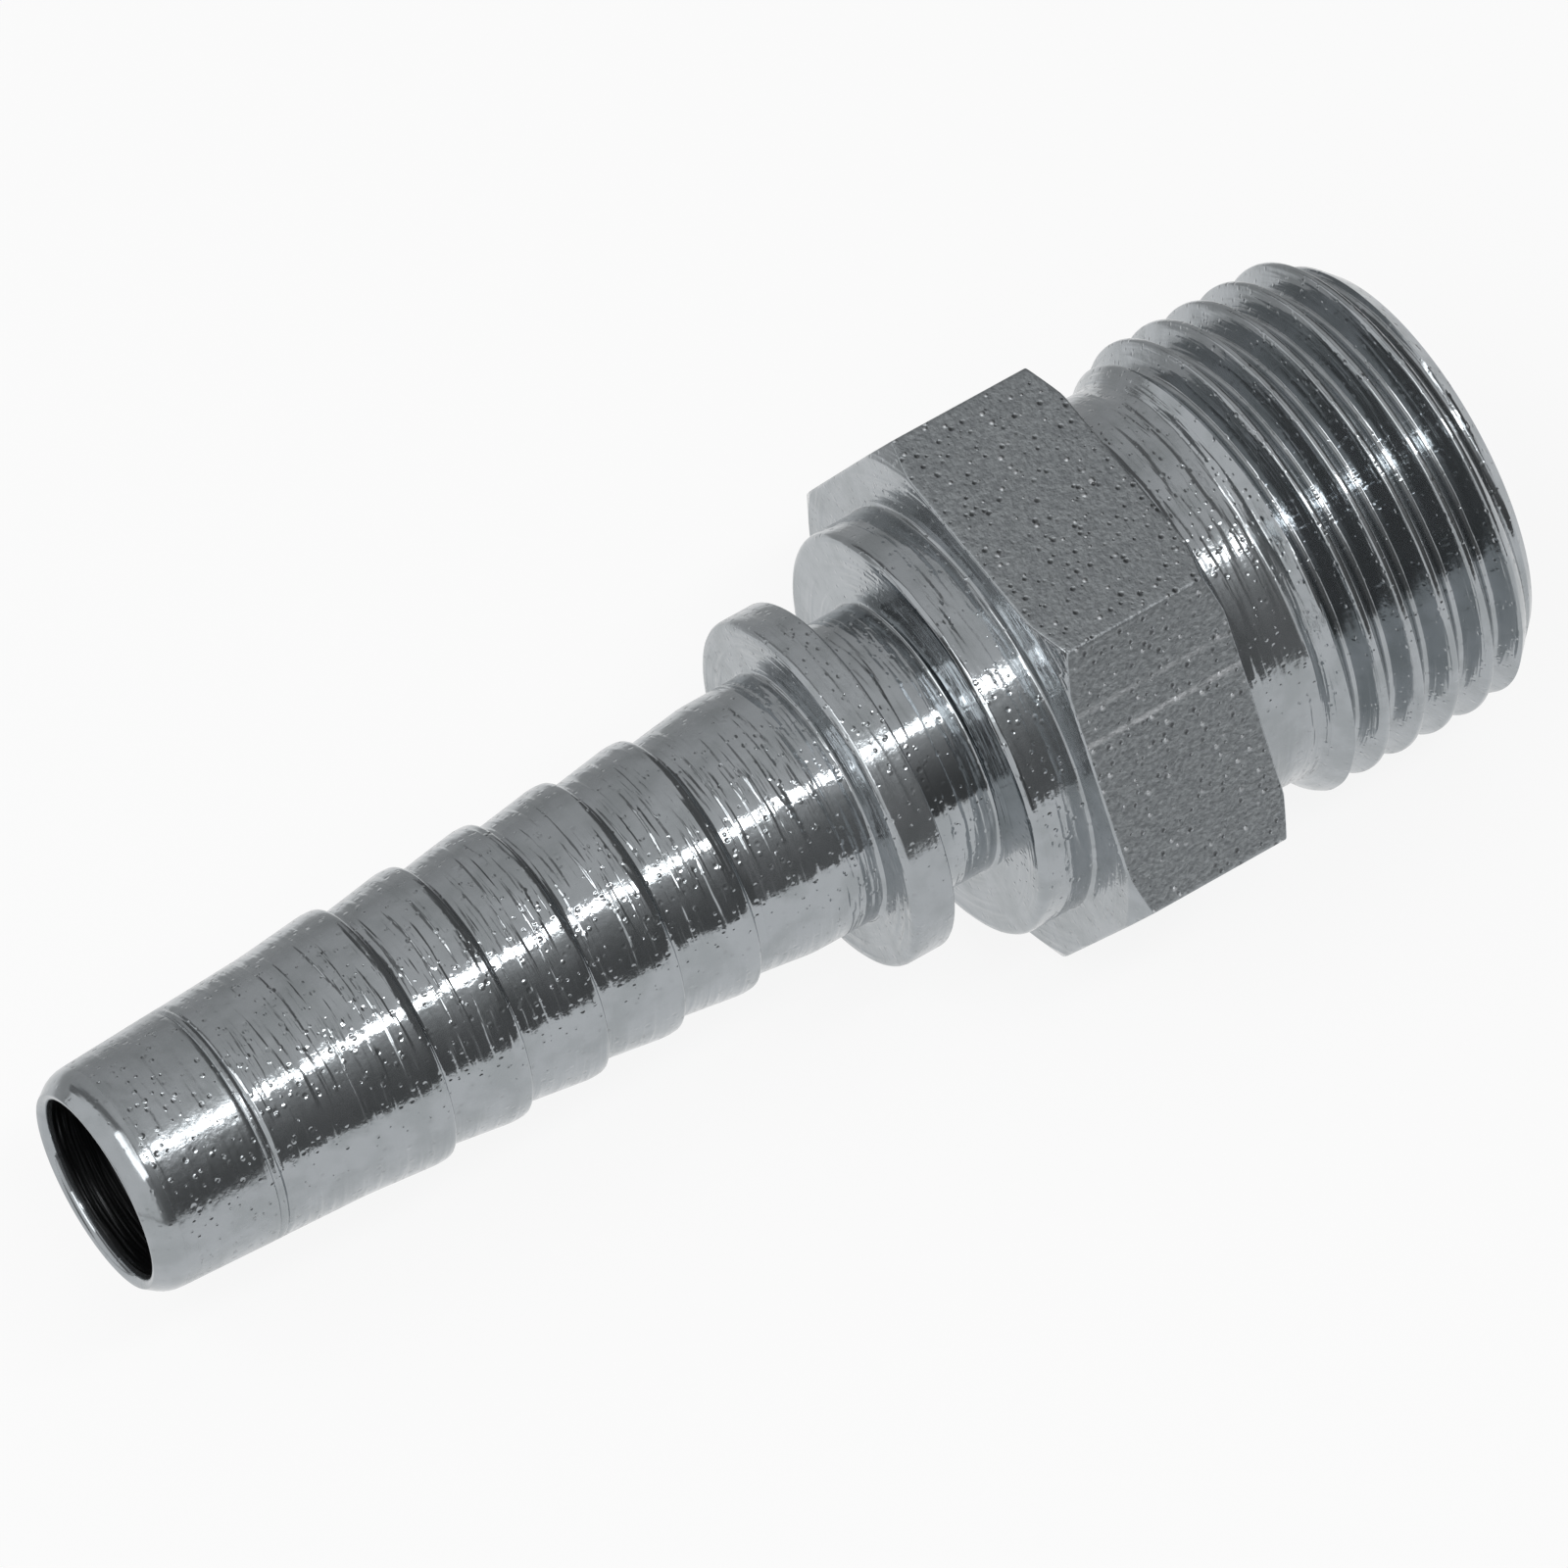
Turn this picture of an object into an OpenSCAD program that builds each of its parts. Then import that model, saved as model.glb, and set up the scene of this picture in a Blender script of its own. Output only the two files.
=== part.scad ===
// Straight male hose fitting, turned from one length of hexagon bar.
// From the tail on, it has a barbed hose tail, a collar and a shoulder that hold a crimped ferrule,
// a hexagon for the spanner, a thread relief, and a male thread with a cone mouth for a metal tube.
// The axis runs along X with the tail towards -X. One flat of the hexagon lies on Z = 0, as the
// fitting comes to rest, and the origin is under the middle of its length.

/* [Bore] */
// Diameter of the bore that runs through the whole fitting
bore_d = 7; // [4:0.1:7.4]
// Rounding of the bore's edge at the tip of the tail
bore_edge_r = 0.3; // [0.1:0.05:0.35]

/* [Nose] */
// Width of the flat ring at the tip, between the bore's edge and the chamfer
tip_w = 0.08; // [0.06:0.02:0.12]
// Length of the chamfer behind the tip
tip_chamfer_len = 0.75; // [0.4:0.05:1.5]
// Rounding where the chamfer meets the nose
tip_chamfer_r = 1.2; // [0.2:0.1:1.2]
// Diameter of the nose at the end of its chamfer
nose_d = 8.7; // [8.4:0.05:9.1]
// Length from the tip to where the first barb starts to rise
nose_len = 8.66; // [4:0.1:14]
// Diameter of the nose where the first barb starts to rise
nose_end_d = 9.42; // [9.2:0.02:9.6]
// Rounding where the nose runs into the first barb
nose_end_r = 12; // [2:1:20]

/* [Barbs] */
// Number of barbs
barb_count = 5; // [2:1:8]
// Distance from the edge of one barb to the edge of the next
barb_pitch = 3.19; // [2.4:0.1:5]
// Diameter over the edges of the barbs
barb_d = 9.96; // [9.8:0.02:10.6]
// Diameter at the foot of the step behind each barb
barb_foot_d = 9.18; // [8.8:0.02:9.4]
// Length of the land in front of each barb's edge
barb_land = 0.5; // [0.3:0.05:0.9]
// Rounding where a barb's cone runs into its land
barb_crest_r = 3; // [0.5:0.5:3]
// Rounding of a barb's edge and of the foot behind it
barb_edge_r = 0.16; // [0.02:0.02:0.18]

/* [Shank] */
// Diameter of the plain shank behind the last barb
shank_d = 9.86; // [9.6:0.02:10.4]
// Length of the cone that rises from the last step to the shank
shank_cone_len = 2.6; // [1:0.1:4]
// Length of the plain shank, up to the collar
shank_len = 2.55; // [1:0.05:8]

/* [Collar and shoulder] */
// Diameter of the collar
collar_d = 13.8; // [12:0.1:16]
// Width of the collar
collar_w = 1.67; // [1:0.05:4]
// Diameter of the neck between collar and shoulder
neck_d = 10.66; // [9:0.05:11.4]
// Width of the neck
neck_w = 2.93; // [1.5:0.05:6]
// Diameter of the shoulder beside the hexagon
shoulder_d = 16.06; // [14:0.1:18]
// Width of the shoulder
shoulder_w = 2.24; // [1:0.05:5]
// Rounding of the rims that face the tail
rim_r = 0.3; // [0.05:0.05:0.4]
// Rounding in the inside corners beside collar and shoulder
corner_r = 0.15; // [0.05:0.05:0.2]
// Rounding of the other turned edges
edge_r = 0.08; // [0.02:0.02:0.12]

/* [Hexagon] */
// Width across the flats
hex_af = 19; // [18.6:0.1:24]
// Width of the hexagon along the axis
hex_w = 6.65; // [4:0.05:12]
// How much wider than the flats an end face is, where its turned chamfer begins
hex_face_over = 1.3; // [0.2:0.1:1.8]
// Angle between a chamfer and its end face
hex_chamfer_angle = 30; // [20:1:45]

/* [Thread] */
// Diameter over the thread
thread_d = 17.8; // [17:0.1:18.4]
// Pitch of the right-hand thread
thread_pitch = 1.5; // [1.4:0.05:2]
// Depth of the thread
thread_depth = 0.92; // [0.5:0.02:1]
// Width of the flat at the bottom of the thread
thread_root_w = 0.25; // [0.1:0.05:0.3]
// Angle between the two flanks of the thread
thread_angle = 60; // [50:1:60]
// Length of the full thread, between its lead-in and its end chamfer
thread_len = 7.12; // [5:0.5:15]
// How far the relief lies below the bottom of the thread
relief_below = 0.03; // [0.02:0.01:0.5]
// Width of the relief between hexagon and thread
relief_w = 2.95; // [2.2:0.05:6]
// Rounding in the corner of the relief beside the hexagon
relief_r = 0.3; // [0.1:0.05:0.6]
// Angle of the lead-in that rises from the relief to the thread
lead_in_angle = 41; // [30:1:60]
// How far before the lead-in the groove of the thread starts
groove_before = 0.98; // [0.8:0.02:1.2]
// Angle between the end chamfer and the axis
end_chamfer_angle = 44; // [30:1:50]

/* [Cone mouth] */
// Diameter of the cone at the end face
cone_d = 14.3; // [13:0.1:14.4]
// Angle between the two sides of the cone
cone_angle = 24; // [20:1:60]
// Width of the flat ring around the cone
end_face_w = 0.45; // [0.2:0.05:0.8]
// Diameter of the socket that takes the end of the tube
socket_d = 12; // [9:0.1:12.5]
// Length of the socket's straight wall, from the cone to the stop
socket_w = 1.59; // [0.5:0.05:4]

/* [Hidden] */
$fn = 96;
steel = [0.62, 0.65, 0.68];
// Steps in a rounded corner, steps in one turn of the thread, and how far a cut runs past a face
corner_steps = 4;
turn_steps = 40;
past = 1;
// The most of a wall's length that the rounding at one of its ends may take
wall_share = 0.48;
// Half of the angle that one side of a hexagon spans
half_side_angle = 30;

// Places along the axis, counted from the tip of the tail
last_edge_x = nose_len + barb_count * barb_pitch;
shank_x = last_edge_x + shank_cone_len;
collar_x = shank_x + shank_len;
neck_x = collar_x + collar_w;
shoulder_x = neck_x + neck_w;
hex_x = shoulder_x + shoulder_w;
relief_x = hex_x + hex_w;
lead_in_x = relief_x + relief_w;
relief_d = thread_d - 2 * (thread_depth + relief_below);
thread_x = lead_in_x + (thread_d - relief_d) / 2 / tan(lead_in_angle);
end_chamfer_x = thread_x + thread_len;
end_d = cone_d + 2 * end_face_w;
total_len = end_chamfer_x + (thread_d - end_d) / 2 / tan(end_chamfer_angle);
cone_x = total_len - (cone_d - socket_d) / 2 / tan(cone_angle / 2);
stop_x = cone_x - socket_w;

// Diameters that follow from others
tip_d = bore_d + 2 * (bore_edge_r + tip_w);
hex_corner_d = hex_af / cos(half_side_angle);
hex_face_d = hex_af + hex_face_over;
// The round core that the turned part keeps inside the hexagon
core_d = (shoulder_d + hex_af) / 2;

function unit(v) = v / norm(v);
function shortest(angle) = angle > 180 ? angle - 360 : angle < -180 ? angle + 360 : angle;
function polar(r, angle) = r * [cos(angle), sin(angle)];

// The corner b between a and c as an arc of radius r, limited by the two walls beside it
function rounded_corner(a, b, c, r) =
    let (
        u = unit(a - b),
        v = unit(c - b),
        half = acos(u * v) / 2,
        room = wall_share * min(norm(a - b), norm(c - b)),
        arc_r = min(r, room * tan(half)),
        centre = b + unit(u + v) * arc_r / sin(half),
        start = b + u * arc_r / tan(half) - centre,
        end = b + v * arc_r / tan(half) - centre,
        from = atan2(start[1], start[0]),
        sweep = shortest(atan2(end[1], end[0]) - from)
    )
    [for (i = [0:corner_steps]) centre + polar(arc_r, from + sweep * i / corner_steps)];

// A list of [distance along the axis, diameter, rounding] as the outline of a turned form
function outline(stations) =
    let (
        points = [for (s = stations) [s[1] / 2, s[0]]],
        last = len(points) - 1
    )
    [for (i = [0:last]) each
        stations[i][2] == 0
            ? [points[i]]
            : rounded_corner(points[i - 1], points[i], points[i + 1], stations[i][2])];

module turned(stations) {
    rotate_extrude()
        polygon(outline(stations));
}

// One barb: the end of its cone, the edge of its land, and the foot of the step behind it
function barb_stations(edge_x) = [
    [edge_x - barb_land, barb_d, barb_crest_r],
    [edge_x, barb_d, barb_edge_r],
    [edge_x, barb_foot_d, barb_edge_r]
];

tail_stations = [
    [0, 0, 0],
    [0, tip_d, edge_r],
    [tip_chamfer_len, nose_d, tip_chamfer_r],
    [nose_len, nose_end_d, nose_end_r],
    for (i = [1:barb_count]) each barb_stations(nose_len + i * barb_pitch),
    [shank_x, shank_d, barb_crest_r],
    [collar_x, shank_d, corner_r]
];

ferrule_stations = [
    [collar_x, collar_d, rim_r],
    [neck_x, collar_d, edge_r],
    [neck_x, neck_d, corner_r],
    [shoulder_x, neck_d, corner_r],
    [shoulder_x, shoulder_d, rim_r],
    [hex_x, shoulder_d, corner_r],
    [hex_x, core_d, 0]
];

thread_stations = [
    [relief_x, core_d, 0],
    [relief_x, relief_d, relief_r],
    [lead_in_x, relief_d, edge_r],
    [thread_x, thread_d, 0],
    [end_chamfer_x, thread_d, 0],
    [total_len, end_d, edge_r],
    [total_len, 0, 0]
];

// The hexagon of the bar, with both end faces turned to a chamfer
module hexagon() {
    chamfer_w = (hex_corner_d - hex_face_d) / 2 * tan(hex_chamfer_angle);
    intersection() {
        translate([0, 0, hex_x])
            rotate([0, 0, half_side_angle])
                cylinder(d = hex_corner_d, h = hex_w, $fn = 6);
        turned([
            [hex_x, 0, 0],
            [hex_x, hex_face_d, 0],
            [hex_x + chamfer_w, hex_corner_d, 0],
            [hex_x + chamfer_w, hex_corner_d + past, 0],
            [relief_x - chamfer_w, hex_corner_d + past, 0],
            [relief_x - chamfer_w, hex_corner_d, 0],
            [relief_x, hex_face_d, 0],
            [relief_x, 0, 0]
        ]);
    }
}

// Everything that is bored out: the bore from the tip, the stop, the socket and the cone
module bores() {
    past_cone_d = cone_d + 2 * past * tan(cone_angle / 2);
    // In front of the tip the cutter is wider than the tip, which leaves room for the edge's full rounding
    flange_d = tip_d + 2 * past;
    turned([
        [-past, 0, 0],
        [-past, flange_d, 0],
        [0, flange_d, 0],
        [0, bore_d, bore_edge_r],
        [stop_x, bore_d, 0],
        [stop_x, socket_d, 0],
        [cone_x, socket_d, 0],
        [total_len + past, past_cone_d, 0],
        [total_len + past, 0, 0]
    ]);
}

// The groove of the right-hand thread: its section is carried round the axis along a helix.
// It starts in the open above the relief and ends in the open past the end face.
module thread_groove() {
    // The bottom stays outside its circle between two steps, so that it never cuts the relief
    bottom_r = (thread_d / 2 - thread_depth) / cos(180 / turn_steps);
    // The section's flanks run on past the crest, so that the cut is clean
    above_crest = thread_depth / 3;
    outer_r = thread_d / 2 + above_crest;
    outer_w = thread_root_w + 2 * (outer_r - bottom_r) * tan(thread_angle / 2);
    start_x = lead_in_x - groove_before;
    steps = ceil((total_len + outer_w - start_x) / thread_pitch * turn_steps);
    section = [
        [bottom_r, -thread_root_w / 2],
        [bottom_r, thread_root_w / 2],
        [outer_r, outer_w / 2],
        [outer_r, -outer_w / 2]
    ];
    sides = len(section);
    points = [
        for (i = [0:steps]) for (p = section)
            let (flat = polar(p[0], 360 * i / turn_steps))
            [flat[0], flat[1], start_x + thread_pitch * i / turn_steps + p[1]]
    ];
    // Two triangles for each side of the section at each step, and one face at each end
    side_faces = [
        for (i = [0:steps - 1]) for (k = [0:sides - 1])
            let (
                here = sides * i + k,
                beside = sides * i + (k + 1) % sides,
                ahead = here + sides,
                ahead_beside = beside + sides
            )
            each [[here, ahead, ahead_beside], [here, ahead_beside, beside]]
    ];
    start_face = [for (k = [0:sides - 1]) k];
    end_face = [for (k = [sides - 1:-1:0]) sides * steps + k];
    polyhedron(points = points, faces = concat([start_face], side_faces, [end_face]));
}

// The whole fitting: one solid
module fitting_body() {
    color(steel)
        translate([-total_len / 2, 0, hex_af / 2])
            rotate([0, 90, 0])
                difference() {
                    union() {
                        turned(concat(tail_stations, ferrule_stations, thread_stations));
                        hexagon();
                    }
                    bores();
                    thread_groove();
                }
}

fitting_body();
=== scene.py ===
"""The looks of a straight male hose fitting: a turned, zinc plated body on a pale floor in soft light."""

from math import atan, cos, pi, radians, sin, tan

import bmesh
import bpy
import numpy as np
from mathutils import Matrix, Vector


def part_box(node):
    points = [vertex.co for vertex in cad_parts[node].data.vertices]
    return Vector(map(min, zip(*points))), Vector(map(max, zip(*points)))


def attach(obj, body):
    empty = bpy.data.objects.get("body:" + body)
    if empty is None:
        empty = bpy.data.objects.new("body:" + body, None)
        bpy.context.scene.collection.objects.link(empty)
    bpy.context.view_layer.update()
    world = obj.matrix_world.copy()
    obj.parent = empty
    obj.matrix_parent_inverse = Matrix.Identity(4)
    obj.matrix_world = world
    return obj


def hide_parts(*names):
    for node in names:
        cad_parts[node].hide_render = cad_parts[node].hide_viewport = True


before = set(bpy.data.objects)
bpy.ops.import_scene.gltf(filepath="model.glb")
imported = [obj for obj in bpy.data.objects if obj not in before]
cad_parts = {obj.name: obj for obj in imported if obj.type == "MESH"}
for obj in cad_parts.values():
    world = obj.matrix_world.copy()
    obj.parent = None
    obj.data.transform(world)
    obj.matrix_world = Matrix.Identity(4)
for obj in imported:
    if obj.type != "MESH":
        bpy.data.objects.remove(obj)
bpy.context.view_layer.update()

# The camera looks down on the tail from the front, with the axis of the fitting rising to the right.
# It stands half a metre away with a long lens, so that the sides run nearly parallel.
MM = 0.001
body_low, body_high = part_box("fitting_body")
TIP_X = body_low.x
AXIS_Z = (body_low.z + body_high.z) / 2
AIM_FROM_TIP = 29.236 * MM
CAMERA_DISTANCE = 519.54 * MM
TOWARDS_CAMERA = Vector((-0.309, -0.4755, 0.8236)).normalized()
AXIS_RISE = radians(29.0)
AIM_RIGHT_OF_CENTRE = 0.383 * MM
AIM_BELOW_CENTRE = 0.691 * MM
LENS_MM = 337.5
SENSOR_MM = 36.0
NEAREST_SEEN = 0.01
FARTHEST_SEEN = 50


def camera_axes(back, axis_rise):
    """The picture's right and up for a camera that looks against back, where +X rises by axis_rise.

    +X is laid into the picture's plane and turned clockwise by the rise, which gives right. Up is the cross
    product of back and right."""
    along = Vector((1, 0, 0)) - back * back.x
    right = Matrix.Rotation(-axis_rise, 3, back) @ along.normalized()
    return right, back.cross(right)


camera_data = bpy.data.cameras.new("camera")
camera_data.lens = LENS_MM
camera_data.sensor_width = SENSOR_MM
camera_data.clip_start = NEAREST_SEEN
camera_data.clip_end = FARTHEST_SEEN
camera = bpy.data.objects.new("camera", camera_data)
bpy.context.scene.collection.objects.link(camera)
right, up = camera_axes(TOWARDS_CAMERA, AXIS_RISE)
aim = Vector((TIP_X + AIM_FROM_TIP, 0, AXIS_Z))
place = aim + TOWARDS_CAMERA * CAMERA_DISTANCE - right * AIM_RIGHT_OF_CENTRE + up * AIM_BELOW_CENTRE
turned = Matrix((right, up, TOWARDS_CAMERA)).transposed()
camera.matrix_world = Matrix.Translation(place) @ turned.to_4x4()
bpy.context.scene.camera = camera

# The fitting body is one piece of free-cutting steel, turned from 19 mm hexagon bar and plated with zinc:
# the flats are as the bar was drawn, and the tail, collar, shoulder, relief and thread come off the lathe.
# Sizes are in millimetres and degrees, and distances along the axis count from the tip.
BORE_D = 7.0
BORE_EDGE_R = 0.3
TIP_D = 7.66
TIP_EDGE_R = 0.05
TIP_CHAMFER_LEN = 0.68
TIP_CHAMFER_R = 1.4
NOSE_D = 8.65
NOSE_LEN = 8.66
NOSE_END_D = 9.42
NOSE_END_R = 12.0
NOSE_RINGS_X = (4.83, 5.14)
NOSE_RING_HALF_W = 0.06
NOSE_RING_DEPTH = 0.05
BARB_COUNT = 5
BARB_PITCH = 3.19
BARB_D = 9.96
BARB_EDGE_D = 9.88
BARB_FOOT_D = 9.18
BARB_LAND = 0.5
BARB_CREST_R = 3.0
BARB_EDGE_R = 0.18
SHANK_D = 9.86
SHANK_CONE_LEN = 2.6
SHANK_LEN = 2.55
ROOT_R = 0.15
COLLAR_D = 13.8
COLLAR_W = 1.67
COLLAR_EDGE_R = 0.3
COLLAR_BACK_EDGE_R = 0.08
NECK_D = 10.66
NECK_W = 2.93
SHOULDER_D = 16.06
SHOULDER_W = 2.24
SHOULDER_EDGE_R = 0.3
HEX_AF = 19.0
HEX_W = 6.65
HEX_FACE_D = 20.3
HEX_CHAMFER_ANGLE = 30.0
HEX_EDGE_BREAK = 0.1
HEX_CORNER_R = 0.1
HEX_FACE_R = 0.1
HEX_EDGE_R = 0.12
RELIEF_W = 2.95
RELIEF_ROOT_R = 0.3
THREAD_D = 17.8
PITCH = 1.5
THREAD_DEPTH = 0.92
RELIEF_BELOW_ROOT = 0.03
RELIEF_D = THREAD_D - 2 * (THREAD_DEPTH + RELIEF_BELOW_ROOT)
LEAD_IN_ANGLE = 41.0
THREAD_LEN = 7.12
END_CHAMFER_ANGLE = 44.0
CONE_D = 14.3
CONE_ANGLE = 24.0
END_FACE_W = 0.45
END_D = CONE_D + 2 * END_FACE_W
END_EDGE_R = 0.08
CONE_EDGE_R = 0.06
SOCKET_D = 12.0
SOCKET_W = 1.59
SOCKET_EDGE_R = 0.1
STOP_EDGE_R = 0.08

SHANK_X = NOSE_LEN + BARB_COUNT * BARB_PITCH + SHANK_CONE_LEN
COLLAR_X = SHANK_X + SHANK_LEN
NECK_X = COLLAR_X + COLLAR_W
SHOULDER_X = NECK_X + NECK_W
HEX_X = SHOULDER_X + SHOULDER_W
RELIEF_X = HEX_X + HEX_W
LEAD_IN_X = RELIEF_X + RELIEF_W
THREAD_X = LEAD_IN_X + (THREAD_D - RELIEF_D) / 2 / tan(radians(LEAD_IN_ANGLE))
END_CHAMFER_X = THREAD_X + THREAD_LEN
TOTAL_LEN = (body_high.x - body_low.x) / MM
CONE_X = TOTAL_LEN - (CONE_D - SOCKET_D) / 2 / tan(radians(CONE_ANGLE / 2))
STOP_X = CONE_X - SOCKET_W

# The angles round the axis, counted from +Y towards +Z, with a few more columns beside each corner
COLUMN_STEP = 1.5
HALF_SIDE = 30.0
CORNER_BESIDE = (-0.9, -0.45, 0.45, 0.9)
corners = np.arange(0, 360, 2 * HALF_SIDE)
beside = (corners[:, None] + np.array(CORNER_BESIDE)).ravel() % 360
angles = np.unique(np.concatenate([np.arange(0, 360, COLUMN_STEP), beside]))
columns = len(angles)


def hexagon_radius(width, corner_r):
    """How far a hexagon of that width across its flats reaches at each angle, with rounded corners.

    Along a flat it is half the width over the cosine of the angle from the flat's middle. Round a corner it
    is where the ray meets a circle of corner_r whose centre lies on the corner's own ray."""
    from_corner = (angles + HALF_SIDE) % (2 * HALF_SIDE) - HALF_SIDE
    from_flat = HALF_SIDE - np.abs(from_corner)
    flat = width / 2 / np.cos(np.radians(from_flat))
    centre = (width / 2 - corner_r) / cos(radians(HALF_SIDE))
    across = centre * np.sin(np.radians(from_corner))
    along = centre * np.cos(np.radians(from_corner))
    round_corner = along + np.sqrt(np.maximum(corner_r**2 - across**2, 0))
    touch_across = corner_r * sin(radians(HALF_SIDE))
    touch_along = centre + corner_r * cos(radians(HALF_SIDE))
    touch = np.degrees(atan(touch_across / touch_along))
    return np.where(np.abs(from_corner) < touch, round_corner, flat)


ARC_STEPS = 4


def rounded_corner(before, corner, after, radius, share_before, share_after):
    """The corner between two walls as an arc of that radius, for all columns at once.

    The arc's centre lies on the line that halves the corner, radius / sin(half the corner's angle) from it.
    The arc takes at most the given shares of the two walls."""
    to_before = before - corner
    to_after = after - corner
    len_before = np.linalg.norm(to_before, axis=0)
    len_after = np.linalg.norm(to_after, axis=0)
    u = to_before / len_before
    v = to_after / len_after
    half = np.arccos(np.clip((u * v).sum(0), -1, 1)) / 2
    room = np.minimum(share_before * len_before, share_after * len_after)
    arc_r = np.minimum(radius, room * np.tan(half))
    middle = u + v
    centre = corner + middle / np.linalg.norm(middle, axis=0) * arc_r / np.sin(half)
    start = corner + u * arc_r / np.tan(half) - centre
    end = corner + v * arc_r / np.tan(half) - centre
    sweep = np.arctan2(start[0] * end[1] - start[1] * end[0], (start * end).sum(0))
    turns = np.linspace(0, 1, ARC_STEPS + 1)[:, None] * sweep
    x = centre[0] + start[0] * np.cos(turns) - start[1] * np.sin(turns)
    r = centre[1] + start[0] * np.sin(turns) + start[1] * np.cos(turns)
    return np.stack([x, r], 1)


# The share of a wall that one arc may take, with another arc at its far end and without
SHARED_WALL = 0.48
WHOLE_WALL = 0.98
# How far from a long wall's ends its two extra rows lie, at most this share of its length
SUPPORT = 0.14
SUPPORT_SHARE = 0.33
LONG_WALL = 3 * SUPPORT
NO_LENGTH = 1e-6


def turned_rows(stations):
    """Rows of (distance along the axis, radius) for stations of (distance, diameter, rounding).

    A station with a rounding becomes an arc, and each long wall gets a row near both its ends, so that the
    smooth shading of an arc stays beside the arc."""
    points = [np.stack([np.broadcast_to(x, columns), np.broadcast_to(d, columns) / 2]).astype(float)
              for x, d, _ in stations]
    rows = [points[0][None]]
    for i in range(1, len(points) - 1):
        rounding = stations[i][2]
        share_before = SHARED_WALL if stations[i - 1][2] else WHOLE_WALL
        share_after = SHARED_WALL if stations[i + 1][2] else WHOLE_WALL
        if rounding:
            rows.append(rounded_corner(*points[i - 1:i + 2], rounding, share_before, share_after))
        else:
            rows.append(points[i][None])
    rows.append(points[-1][None])
    out = [rows[0]]
    for here, there in zip(rows, rows[1:]):
        start, end = here[-1], there[0]
        length = np.linalg.norm(end - start, axis=0)
        if length.max() > LONG_WALL:
            share = np.minimum(SUPPORT / np.maximum(length, NO_LENGTH), SUPPORT_SHARE)
            out += [(start + (end - start) * share)[None], (end + (start - end) * share)[None]]
        out.append(there)
    return np.concatenate(out)


def barb_stations(edge_x):
    """The end of a barb's cone, the edge of its land and the foot of the step behind it."""
    return [
        (edge_x - BARB_LAND, BARB_D, BARB_CREST_R), (edge_x, BARB_EDGE_D, BARB_EDGE_R),
        (edge_x, BARB_FOOT_D, BARB_EDGE_R),
    ]


def nose_ring_stations(ring_x):
    """A fine ring that the tool left in the nose's cone: down and up again."""
    share = (ring_x - TIP_CHAMFER_LEN) / (NOSE_LEN - TIP_CHAMFER_LEN)
    nose_d = NOSE_D + (NOSE_END_D - NOSE_D) * share
    bottom_d = nose_d - 2 * NOSE_RING_DEPTH
    return [
        (ring_x - NOSE_RING_HALF_W, nose_d, 0), (ring_x, bottom_d, 0),
        (ring_x + NOSE_RING_HALF_W, nose_d, 0),
    ]


tip_ring_d = BORE_D + 2 * BORE_EDGE_R
tail = [(0, tip_ring_d, 0), (0, TIP_D, TIP_EDGE_R), (TIP_CHAMFER_LEN, NOSE_D, TIP_CHAMFER_R)]
for ring_x in NOSE_RINGS_X:
    tail += nose_ring_stations(ring_x)
tail += [(NOSE_LEN, NOSE_END_D, NOSE_END_R)]
for barb in range(1, BARB_COUNT + 1):
    tail += barb_stations(NOSE_LEN + barb * BARB_PITCH)
tail += [(SHANK_X, SHANK_D, BARB_CREST_R), (COLLAR_X, SHANK_D, ROOT_R)]
ferrule_seat = [
    (COLLAR_X, COLLAR_D, COLLAR_EDGE_R), (NECK_X, COLLAR_D, COLLAR_BACK_EDGE_R), (NECK_X, NECK_D, ROOT_R),
    (SHOULDER_X, NECK_D, ROOT_R), (SHOULDER_X, SHOULDER_D, SHOULDER_EDGE_R), (HEX_X, SHOULDER_D, ROOT_R),
]
hexagon = 2 * hexagon_radius(HEX_AF, HEX_CORNER_R)
chamfer_start = np.minimum(hexagon - 2 * HEX_EDGE_BREAK, HEX_FACE_D)
chamfer_w = (hexagon - chamfer_start) / 2 * tan(radians(HEX_CHAMFER_ANGLE))
spanner_hexagon = [
    (HEX_X, chamfer_start, HEX_FACE_R), (HEX_X + chamfer_w, hexagon, HEX_EDGE_R),
    (RELIEF_X - chamfer_w, hexagon, HEX_EDGE_R), (RELIEF_X, chamfer_start, HEX_FACE_R),
    (RELIEF_X, RELIEF_D, RELIEF_ROOT_R),
]
# The helix starts a little before the lead-in and ends within the end chamfer
HELIX_AHEAD = 0.1
HELIX_SHORT_OF_END = 0.33
HELIX_FROM = LEAD_IN_X - HELIX_AHEAD
HELIX_TO = TOTAL_LEN - HELIX_SHORT_OF_END
helix_to_d = THREAD_D - 2 * (HELIX_TO - END_CHAMFER_X) * tan(radians(END_CHAMFER_ANGLE))
outer_rows = turned_rows(tail + ferrule_seat + spanner_hexagon + [(HELIX_FROM, RELIEF_D, 0)])


def thread_envelope(x):
    """The radius of the blank that the thread is cut in: relief, lead-in cone, cylinder and end chamfer."""
    lead_in = RELIEF_D / 2 + (x - LEAD_IN_X) * tan(radians(LEAD_IN_ANGLE))
    end_chamfer = THREAD_D / 2 - (x - END_CHAMFER_X) * tan(radians(END_CHAMFER_ANGLE))
    cut = np.minimum(np.minimum(lead_in, end_chamfer), THREAD_D / 2)
    return np.maximum(cut, np.minimum(RELIEF_D / 2, end_chamfer))


def smooth_least(a, b, width):
    """The lesser of a and b, with the corner where they meet rounded over that width."""
    gap = np.maximum(width - np.abs(a - b), 0) / width
    return np.minimum(a, b) - gap**2 * width / 4


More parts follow.
